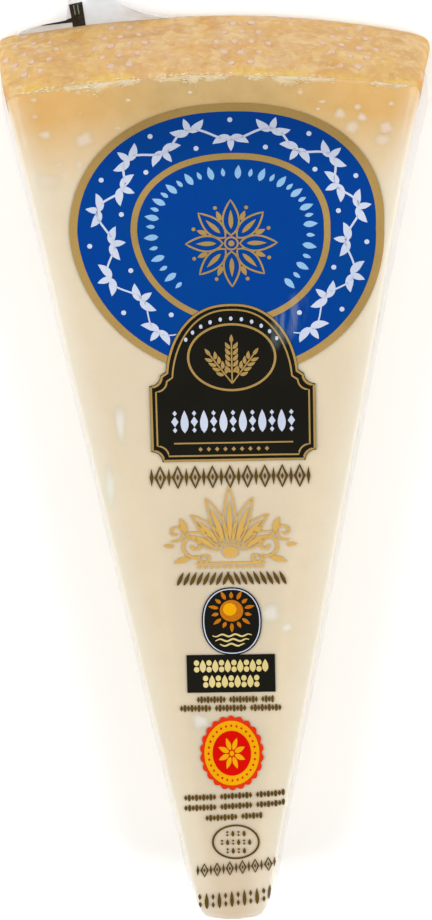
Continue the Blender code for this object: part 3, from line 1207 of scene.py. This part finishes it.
def bandTurn(angle):      # the band's outward direction there, as a turn from straight up
    (x0, y0), (x1, y1) = onBand(angle, 0.2), onBand(angle, 0.8)
    return math.atan2(x1 - x0, y1 - y0)


def unitAngles(reach, units):      # evenly from -reach to reach
    return [reach * (2 * (unit + 0.5) / units - 1) for unit in range(units)]


def garland():
    reach, units = plate["garlandTurn"], plate["garlandUnits"]
    stem = [onBand(reach * (i / (units * 5) - 1), 0.5 + plate["stemWave"] * math.sin(math.pi * i / 10))
            for i in range(units * 10 + 1)]
    shapes = [stroke(stem, 0.42, taper=0.5)]
    for unit, angle in enumerate(unitAngles(reach, units)):
        side = -1 if unit % 2 else 1
        base = bandTurn(angle) + (0 if side > 0 else math.pi)
        for turn, length, wide in plate["leaves"]:
            foot = onBand(angle, 0.5 + 0.10 * side)
            shapes.append([leaf(*foot, base + turn, length, wide, bend=-0.5 * turn)])
        shapes.append([oval(*onBand(angle, 0.5 - 0.30 * side), 0.90, 0.90, 14)])
    return shapes


def beadRing():
    shapes = []
    for unit, angle in enumerate(unitAngles(plate["beadTurn"], plate["beadUnits"])):
        length, wide = (2.6, 1.15) if unit % 2 else (1.6, 0.75)
        out = bandTurn(angle)
        shapes.append([leaf(*off(*ringEdge(angle, plate["beadInset"]), out, -length / 2), out, length, wide)])
    return shapes


rosette = {"x": 2.6, "y": 168.4, "petals": 8, "length": 6.6, "wide": 2.9, "line": 0.34, "start": 1.5}


def rosetteShapes():
    shapes = []
    x, y, start = rosette["x"], rosette["y"], rosette["start"]
    for i in range(rosette["petals"]):
        turn = fullTurn * i / rosette["petals"]
        half = fullTurn * (i + 0.5) / rosette["petals"]
        petal = leaf(*off(x, y, turn, start), turn, rosette["length"], rosette["wide"], points=12)
        shapes.append(outlined(petal, rosette["line"]))
        shapes.append([leaf(*off(x, y, turn, start + 1.2), turn, 3.6, 0.85)])
        shapes.append([leaf(*off(x, y, half, 4.6), half, 2.0, 0.9)])
        shapes.append([oval(*off(x, y, half, 7.2), 0.7, 0.7, 12)])
    return shapes + [outlined(oval(x, y, 2.3, 2.3, 24), rosette["line"]), [oval(x, y, 1.1, 1.1, 16)]]


blueLoop = roundLoop(plateEdge, plate["half"], plate["rise"])
rimLoop = roundLoop(plateEdge, plate["half"] + plate["rimWidth"], plate["rise"] + plate["rimWidth"])
addInk("printPlateBlue", "blueInk", [[blueLoop]])
addInk("printPlateRim", "goldInk", [[rimLoop, blueLoop]], layer=0.5)
ringLoops = [roundLoop(ringEdge, 0.0), roundLoop(ringEdge, plate["ringWidth"])]
addInk("printPlateRing", "goldInk", [ringLoops], layer=1)
addInk("printGarland", "silverInk", garland(), layer=1)
addInk("printBeads", "paleBlueInk", beadRing(), layer=1)
addInk("printRosette", "goldInk", rosetteShapes(), layer=1)


# The black plaque: an arched top over a plain panel, with gold lines, wheat ears and a silver row

plaque = {
    "x": 2.2,
    "top": 157.1,
    "shoulder": 143.6,
    "bottom": 126.8,
    "archHalf": 11.9,
    "panelHalf": 14.9,
    "notch": 2.0,
    "trim": 0.42,
    "inset": 1.15,
    "insetLine": 0.30,
    "silverY": 134.6,
    "silverTall": 4.4,
    "silverPitch": 1.75,
}


def plaqueLoop(inset):
    x, half, arch = plaque["x"], plaque["panelHalf"] - inset, plaque["archHalf"] - inset
    top, shoulder, bottom = plaque["top"] - inset, plaque["shoulder"] - inset, plaque["bottom"] + inset
    notch, quarter = plaque["notch"], math.pi / 2
    corner = [quarter * i / 6 for i in range(7)]      # both corners are concave
    right = [(x + half - notch * math.cos(angle), bottom + notch * math.sin(angle)) for angle in corner]
    right += [(x + half - notch * math.sin(angle), shoulder - notch * math.cos(angle)) for angle in corner]
    for i in range(1, 22):      # the arch, drawn up to a soft point
        angle = quarter * i / 22
        height = shoulder + (top - shoulder) * math.sin(angle) ** 1.1
        right.append((x + arch * math.cos(angle) ** 0.85, height))
    return right + [(x, top)] + [(2 * x - px, py) for px, py in right[::-1]]


def wheatEar(x, y, turn, grains, size):
    shapes = [stroke([(x, y), off(x, y, turn, size * (grains + 2.4))], 0.26)]
    for grain in range(grains):
        for side in (-1, 1):
            foot = off(*off(x, y, turn, size * (1.9 + grain)), turn + math.pi / 2, 0.22 * side)
            shapes.append([leaf(*foot, turn + side * 0.55, size * 1.45, size * 0.62, bend=-0.5 * side)])
    shapes.append([leaf(*off(x, y, turn, size * (grains + 1.9)), turn, size * 1.5, size * 0.6)])
    return shapes


def plaqueGold():
    x = plaque["x"]
    shapes = [outlined(plaqueLoop(0.25), plaque["trim"]),
              outlined(plaqueLoop(plaque["inset"]), plaque["insetLine"]),
              outlined(oval(x, 146.9, 15.6, 12.6, 56), 0.42)]
    for turn, grains in ((0.0, 5), (-0.62, 4), (0.62, 4)):
        shapes += wheatEar(x, 141.9, turn, grains, 1.12)
    shapes.append([bar(x, 130.4, 21.5, 0.28)])
    return shapes + [[lozenge(x + i * 1.5, 129.2, 0.8, 0.9)] for i in range(-4, 5)]


def plaqueSilver():      # a row of leaves and lozenges, and dots along the arch
    shapes = []
    y, tall = plaque["silverY"], plaque["silverTall"]
    for i in range(-6, 7):
        x = plaque["x"] + i * plaque["silverPitch"]
        if i % 2:
            shapes.append([leaf(x, y - tall / 2, 0.0, tall, 1.45)])
        else:
            for up, wide, high in ((0, 1.30, 2.0), (0.37, 0.80, 1.05), (-0.37, 0.80, 1.05)):
                shapes.append([lozenge(x, y + tall * up, wide, high)])
    for i in range(-5, 6):
        angle = i * 0.19
        x, y = plaque["x"] + math.sin(angle) * 10.0, 145.0 + math.cos(angle) * 9.3
        shapes.append([oval(x, y, 0.62, 0.8, 12)])
    return shapes


addInk("printPlaque", "blackInk", [[plaqueLoop(0.0)]], layer=2)
addInk("printPlaqueGold", "goldInk", plaqueGold(), layer=3)
addInk("printPlaqueSilver", "silverInk", plaqueSilver(), layer=3)


# Rows of small ornament in dark brown, along the print's axis

def ornament(style, odd, x, y, tall, pitch, side):      # one unit of a row; its two motifs take turns
    foot = y - tall / 2
    if style == "slant":      # leaves that lean towards the middle
        return [[leaf(x - side * 0.35 * pitch, foot, side * 0.42, tall * 1.08, pitch * 0.60)]]
    if style == "lozenge" and odd:
        return [outlined(lozenge(x, y, pitch * 1.05, tall), tall * 0.13),
                [lozenge(x, y, pitch * 0.34, tall * 0.34)]]
    if style == "lozenge":
        return [[lozenge(x, y, pitch * 0.44, tall * 0.90)]]
    if style == "bead" and odd:
        return [[oval(x, y, pitch * 0.88, tall * 0.95, 12)]]
    if style == "bead":
        return [[lozenge(x, y, pitch * 0.98, tall * 0.85)]]
    if odd:
        return [[leaf(x, foot, 0.0, tall, pitch * 0.58)]]
    return [[lozenge(x, y + up * tall * 0.24, pitch * 0.52, tall * 0.40)] for up in (1, -1)]


def ornamentRow(foot, left, right, tall, pitch, style, rise):      # its right end stands higher by rise
    shapes = []
    count = max(1, round((right - left) / pitch))
    for i in range(count):
        share = (i + 0.5) / count
        if style != "bead" or i % 10 != 9:      # the beads stand in groups
            x, y = left + share * (right - left), foot + rise * share ** 1.4
            shapes += ornament(style, i % 2, x, y, tall, pitch, 1 if share < 0.5 else -1)
    return shapes


rows = [
    (123.75, -13.6, 16.4, 4.1, 1.60, "lozenge", 0.0),
    (103.70, -8.9, 11.4, 2.8, 1.20, "slant", 0.0),
    (79.35, -5.7, 8.6, 1.60, 0.60, "bead", 0.0),
    (77.60, -8.9, 10.6, 1.60, 0.65, "bead", 0.0),
    (59.10, -8.6, 10.2, 1.50, 0.66, "bead", 0.9),
    (57.00, -8.6, 10.2, 1.50, 0.66, "bead", 0.9),
    (54.90, -4.7, 6.0, 1.50, 0.66, "bead", 0.5),
    (51.60, -1.2, 3.0, 1.30, 1.05, "bud", 0.0),
    (49.80, -2.2, 4.0, 1.30, 1.05, "bud", 0.0),
    (48.00, -1.2, 3.0, 1.30, 1.05, "bud", 0.0),
    (43.90, -6.9, 8.6, 2.70, 1.15, "lozenge", 1.4),
    (37.30, -6.6, 7.6, 3.60, 1.20, "bud", 1.5),
]
rowShapes = [shape for row in rows for shape in ornamentRow(*row)]
addInk("printRows", "brownInk", rowShapes + [outlined(oval(0.9, 49.85, 8.6, 6.9, 44), 0.38)], step=0.6)


# The pale gold palmette with scrolls

palmette = {
    "x": 1.15,
    "foot": 107.3,
    "line": 0.30,
    # across, up, then the scroll's start, turns, radius and line
    "scrolls": ((6.6, 3.0, 3.6, -1.35, 2.5, 0.50), (9.9, 5.6, 2.7, 1.25, 1.8, 0.42),
                (4.7, 0.6, 1.2, 1.1, 1.3, 0.40)),
    # across, up, then the leaf's turn, length and width
    "leaves": ((8.3, 5.2, 0.25, 3.4, 1.2), (7.3, 0.4, 1.9, 3.2, 1.1), (4.6, 5.0, 0.7, 2.4, 0.9),
               (10.3, 2.8, 1.5, 1.9, 0.8)),
}


def palmetteShapes():
    x, foot = palmette["x"], palmette["foot"]
    shapes = []
    for i in range(-3, 4):
        turn = i * 0.36
        length = 11.6 - 1.5 * abs(i)
        bx, by = x + math.sin(turn) * 2.4, foot + 1.0 + math.cos(turn) * 2.0
        shapes.append(outlined(leaf(bx, by, turn, length, 2.3, bend=0.22 * i, points=14), palmette["line"]))
        shapes.append([leaf(*off(bx, by, turn, 0.9), turn, length * 0.72, 0.95, bend=0.20 * i)])
    half = [stroke(spiral(x + across, foot + up, start, turns, size), wide)
            for across, up, start, turns, size, wide in palmette["scrolls"]]
    half += [[leaf(x + across, foot + up, *sizes, bend=0.5)] for across, up, *sizes in palmette["leaves"]]
    shapes += [[oval(x, foot + 1.6, 3.0, 2.3, 24)], *half, *mirrored(half, x)]
    shapes.append([bar(x, foot - 0.6, 12.6, 0.42)])
    return shapes + [[lozenge(x + i * 1.15, foot - 1.35, 0.72, 0.80)] for i in range(-5, 6)]


addInk("printPalmette", "paleGoldInk", palmetteShapes(), layer=0.5)


# The dark rounded field with a sun over waves, and the bar below it

sun = {
    "x": 1.10,
    "fieldY": 95.1,
    "wide": 11.0,
    "tall": 13.5,
    "squareness": 2.25,
    "middle": 97.2,
    "rays": 14,
    "waveHalves": (3.6, 3.1, 2.3),
    "barX": 0.75,
    "barRows": ((86.15, 6.9, 12), (83.05, 5.3, 9)),      # height, half width and count
}


def sunField(inset):
    return oval(sun["x"], sun["fieldY"], sun["wide"] - inset, sun["tall"] - inset, 56, sun["squareness"])


def sunRays():
    turns = [fullTurn * i / sun["rays"] for i in range(sun["rays"])]
    return [[leaf(*off(sun["x"], sun["middle"], turn, 2.45), turn, 1.9 if i % 2 else 1.35, 0.72)]
            for i, turn in enumerate(turns)]


def waves():
    shapes = []
    for row, half in enumerate(sun["waveHalves"]):
        places = [half * (i / 12 - 1) for i in range(25)]
        points = [(sun["x"] + x, 92.3 - row * 0.95 + 0.22 * math.sin(x * 2.6 + row)) for x in places]
        shapes.append(stroke(points, 0.34, taper=0.6))
    return shapes


def barRow():
    shapes = []
    for y, half, count in sun["barRows"]:
        for i in range(count):
            x = sun["barX"] - half + 2 * half * (i + 0.5) / count
            if i % 2:
                shapes.append([leaf(x, y - 1.3, 0.0, 2.6, 1.15)])
            else:
                shapes += [[oval(x, y + up, 1.0, 1.15, 12)] for up in (0.66, -0.66)]
    return shapes


addInk("printSunField", "blackInk", [[sunField(0.0)], [bar(sun["barX"], 84.6, 16.3, 7.6)]])
addInk("printSunTrim", "silverInk", [outlined(sunField(0.7), 0.20)], layer=1)
addInk("printSunDisc", "amberInk", [[oval(sun["x"], sun["middle"], 4.3, 4.3, 36)]] + sunRays(), layer=1)
addInk("printSunHeart", "yellowInk", [[oval(sun["x"] - 0.3, sun["middle"] + 0.3, 2.5, 2.5, 28)]], layer=2)
addInk("printCream", "creamInk", waves() + barRow(), layer=1)


# The round seal: a scalloped red rim, a yellow ring and a flower

seal = {"x": 0.55, "y": 68.35, "wide": 11.9, "tall": 15.5, "scallops": 22, "scallopDepth": 0.075, "petals": 8}


def sealOval(share, points=56):
    return oval(seal["x"], seal["y"], seal["wide"] * share, seal["tall"] * share, points)


def scalloped():
    count = seal["scallops"] * 8
    points = []
    for i in range(count):
        angle = fullTurn * i / count
        grow = 1.0 - seal["scallopDepth"] * (1 - abs(math.sin(angle * seal["scallops"] / 2)))
        points.append((seal["x"] + math.cos(angle) * seal["wide"] / 2 * grow,
                       seal["y"] + math.sin(angle) * seal["tall"] / 2 * grow))
    return points


def sealFlower():
    stretch = seal["tall"] / seal["wide"]
    turns = [fullTurn * (i + 0.5) / seal["petals"] for i in range(seal["petals"])]
    petals = [leaf(*off(0, 0, turn, 0.55), turn, 2.1, 0.85) for turn in turns]
    return [[[(seal["x"] + x, seal["y"] + y * stretch) for x, y in petal]] for petal in petals]


sealBeads = [[oval(x, y, 0.38, 0.50, 10)] for x, y in sealOval(0.73, 28)]
addInk("printSealRim", "scarletInk", [[scalloped()]])
addInk("printSealRing", "yellowInk", [[sealOval(0.86)]], layer=1)
addInk("printSealHeart", "redInk", [[sealOval(0.60)]] + sealBeads, layer=2)
addInk("printSealFlower", "yellowInk", sealFlower() + [[sealOval(0.07, 16)]], layer=3)


# The printed mark on the loose end: dark blocks with two pale stripes

mark = {
    "block": (0.352, 0.434, 0.02, 0.78),      # left, right, foot and top, as shares of the loose end
    "stripes": [(0.376, 0.383, 0.40, 0.74), (0.400, 0.407, 0.40, 0.74)],
    "stroke": (0.160, 0.358, 0.00140, 0.0009),      # left, right, then how far out and how wide, in metres
    "lift": 0.00022,
    "stripeLift": 0.000308,
    "thickness": 0.00005,
    "ink": (tint(22, 20, 18), tint(46, 40, 34)),
    "stripe": (tint(96, 100, 90), tint(128, 132, 122)),
}


def markPatch(left, right, low, high, lift):
    def place(along, out):
        return tailPlace(left + (right - left) * along, low + (high - low) * out, lift)

    return gridMesh(12, 16, place, "mark")


def markStroke():      # a thin wedge of ink that runs in from the left
    left, right, middle, wide = mark["stroke"]

    def place(along, out):
        share = left + (right - left) * along
        far = middle + wide * (0.25 + 0.75 * along ** 1.6) * (out - 0.5)
        return tailPlace(share, min(0.98, far / tailReach(share)), mark["lift"])

    return gridMesh(30, 6, place, "mark")


def addMark(name, materialName, meshes, colour, pale):
    bm = bmesh.new()
    for mesh in meshes:
        bm.from_mesh(mesh)
    material, tree, place = startMaterial(
        materialName, Roughness=0.35, Specular_IOR_Level=0.15, Coat_Weight=0.2, Coat_Roughness=0.08)
    painted(material, mixed(tree, mottled(tree, place, 0.0008, 2.0, 0.3, 0.7), colour, pale))
    addPiece(name, closedSheet(meshFrom(bm, "joined"), mark["thickness"]), material)


stripes = [markPatch(*patch, mark["stripeLift"]) for patch in mark["stripes"]]
addMark("tailMark", "tailMark", [markPatch(*mark["block"], mark["lift"]), markStroke()], *mark["ink"])
addMark("tailStripes", "tailStripe", stripes, *mark["stripe"])


# Floor, light and camera

studio = {
    "distance": 0.800,
    "look": (-0.00928, 0.12191, 0.0117),
    "tilt": math.radians(22.0),
    "roll": math.radians(2.59),
    "turn": math.radians(-3.71),
    "focal": 4354.0,            # in pixels of the photograph's frame
    "frameTall": 920.0,
    "sensor": 24.0,
    "lightsFace": (0, 0, 0.01),
    "worldLight": 0.34,
    "floorDrop": -0.0002,
}

# Four soft boxes round the wedge, none where the face would mirror it: name, place, size, power
lamps = [
    ("softLeft", (-0.95, 0.10, 0.62), (1.1, 1.3), 13.0),
    ("softRight", (0.95, 0.10, 0.62), (1.1, 1.3), 13.0),
    ("softRind", (0.0, 1.10, 0.60), (1.3, 0.8), 7.0),
    ("softTip", (0.0, -1.15, 0.30), (1.2, 0.5), 3.0),
]


def addCamera():
    tilt, roll = studio["tilt"], studio["roll"]
    down = Vector((0, -math.sin(tilt), -math.cos(tilt)))
    up = Vector((0, math.cos(tilt), -math.sin(tilt)))
    right = Vector((1, 0, 0))
    turn = Matrix.Rotation(studio["turn"], 3, "Z")
    sideways = turn @ (right * math.cos(roll) + up * math.sin(roll))
    upwards = turn @ (up * math.cos(roll) - right * math.sin(roll))
    place = wheelCentre + turn @ (Vector(studio["look"]) - down * studio["distance"])
    camera = linked("camera", bpy.data.cameras.new("camera"))
    camera.data.sensor_fit = "VERTICAL"
    camera.data.sensor_height = studio["sensor"]
    camera.data.lens = studio["focal"] / studio["frameTall"] * studio["sensor"]
    facing = Matrix((sideways, upwards, -(turn @ down))).transposed()
    camera.matrix_world = Matrix.Translation(place) @ facing.to_4x4()
    bpy.context.scene.camera = camera


def addLight(name, place, size, watts):
    lamp = bpy.data.lights.new(name, "AREA")
    lamp.shape = "RECTANGLE"
    lamp.size, lamp.size_y = size
    lamp.energy = watts
    light = linked(name, lamp)
    light.location = place
    light.rotation_euler = (Vector(studio["lightsFace"]) - Vector(place)).to_track_quat("-Z", "Y").to_euler()


def addFloor():
    bm = bmesh.new()
    bmesh.ops.create_grid(bm, x_segments=8, y_segments=8, size=1.6)
    floor = linked("floor", meshFrom(bm, "floor"))
    floor.location.z = studio["floorDrop"]
    material, tree, place = startMaterial("paleFloor", Roughness=0.8)
    cloud = mottled(tree, place, 0.5, 1.0, 0.3, 0.7)
    pale = mixed(tree, cloud, tint(250, 250, 250), tint(252, 252, 251))
    floor.data.materials.append(painted(material, pale))


addCamera()
addFloor()
for lamp in lamps:
    addLight(*lamp)
world = bpy.data.worlds.new("studio")
bpy.context.scene.world = world
world.use_nodes = True
world.node_tree.nodes["Background"].inputs["Color"].default_value = (1.0, 1.0, 1.0, 1.0)
world.node_tree.nodes["Background"].inputs["Strength"].default_value = studio["worldLight"]
bpy.context.scene.view_settings.view_transform = "Standard"
print("floor, light and camera ready")
